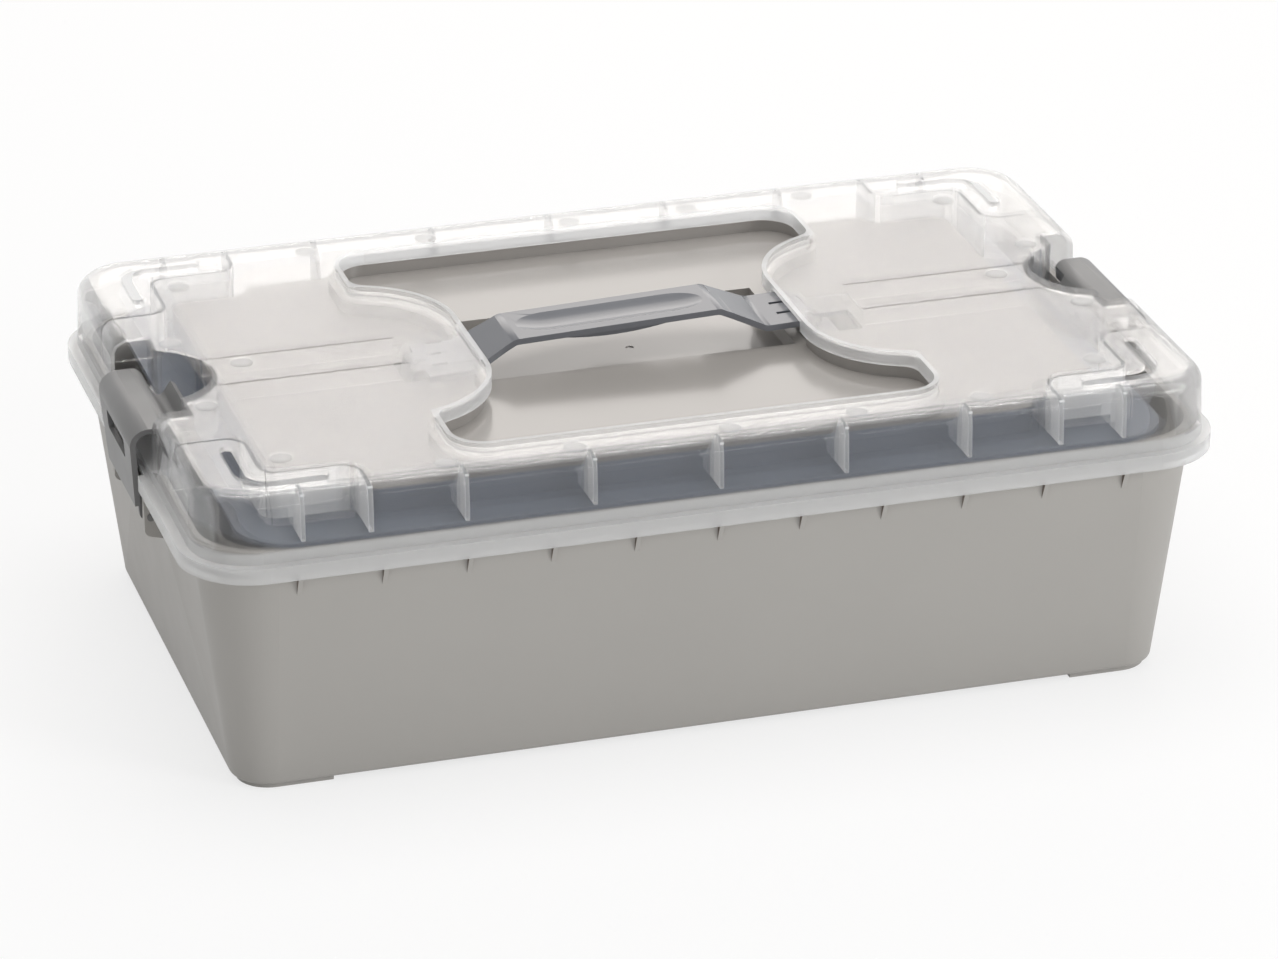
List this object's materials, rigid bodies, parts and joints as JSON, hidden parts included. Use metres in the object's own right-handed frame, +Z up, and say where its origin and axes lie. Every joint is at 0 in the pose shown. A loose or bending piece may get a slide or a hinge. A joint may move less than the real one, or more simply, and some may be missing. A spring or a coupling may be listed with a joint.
{
  "type": "art supply box",
  "caption": "Plastic storage box with a grey tub, a lift-out tray with a raised flat top, a see-through lid with a centre opening, a strap handle standing up through it and a swing latch at each end.",
  "frame": {"origin": "on the table under the middle of the box", "axes": "+X along the length to the right, the front of the box faces -Y, +Z up"},
  "size_m": [0.4056, 0.2472, 0.1317],
  "materials": {
    "tub_grey": "fine matte texture",
    "tray_grey": "glossy",
    "handle_grey": "smooth semi-gloss",
    "lid_clear": "milky see-through",
    "latch_grey": "matte"
  },
  "bodies": {
    "tub": {"tub": "tub_grey", "latch_pin_left": "latch_grey", "latch_pin_right": "latch_grey"},
    "tray": {"tray": "tray_grey"},
    "handle": {"handle": "handle_grey"},
    "lid": {"lid": "lid_clear"},
    "latch_left": {"latch_left": "latch_grey"},
    "latch_right": {"latch_right": "latch_grey"}
  },
  "joints": [
    {"name": "lid_lift", "type": "slide", "parent": "tub", "child": "lid", "axis": [0, 0, 1], "range_m": [0, 0.0402]},
    {"name": "latch_left_hinge", "type": "hinge", "parent": "tub", "child": "latch_left", "pos_m": [-0.196, 0, 0.081], "axis": [0, -1, 0], "range_deg": [0, 162]},
    {"name": "latch_right_hinge", "type": "hinge", "parent": "tub", "child": "latch_right", "pos_m": [0.196, 0, 0.081], "axis": [0, 1, 0], "range_deg": [0, 162]},
    {"name": "tray_lift", "type": "slide", "parent": "tub", "child": "tray", "axis": [0, 0, 1], "range_m": [0, 0.0181]},
    {"name": "handle_slide", "type": "slide", "parent": "tray", "child": "handle", "axis": [1, 0, 0], "range_m": [0, 0.013]}
  ],
  "couplings": [
    {"joint": "latch_left_hinge", "follows": "lid_lift", "rad_per_m": 70.33},
    {"joint": "latch_right_hinge", "follows": "lid_lift", "rad_per_m": 70.33},
    {"joint": "tray_lift", "follows": "lid_lift", "ratio": 0.45}
  ]
}
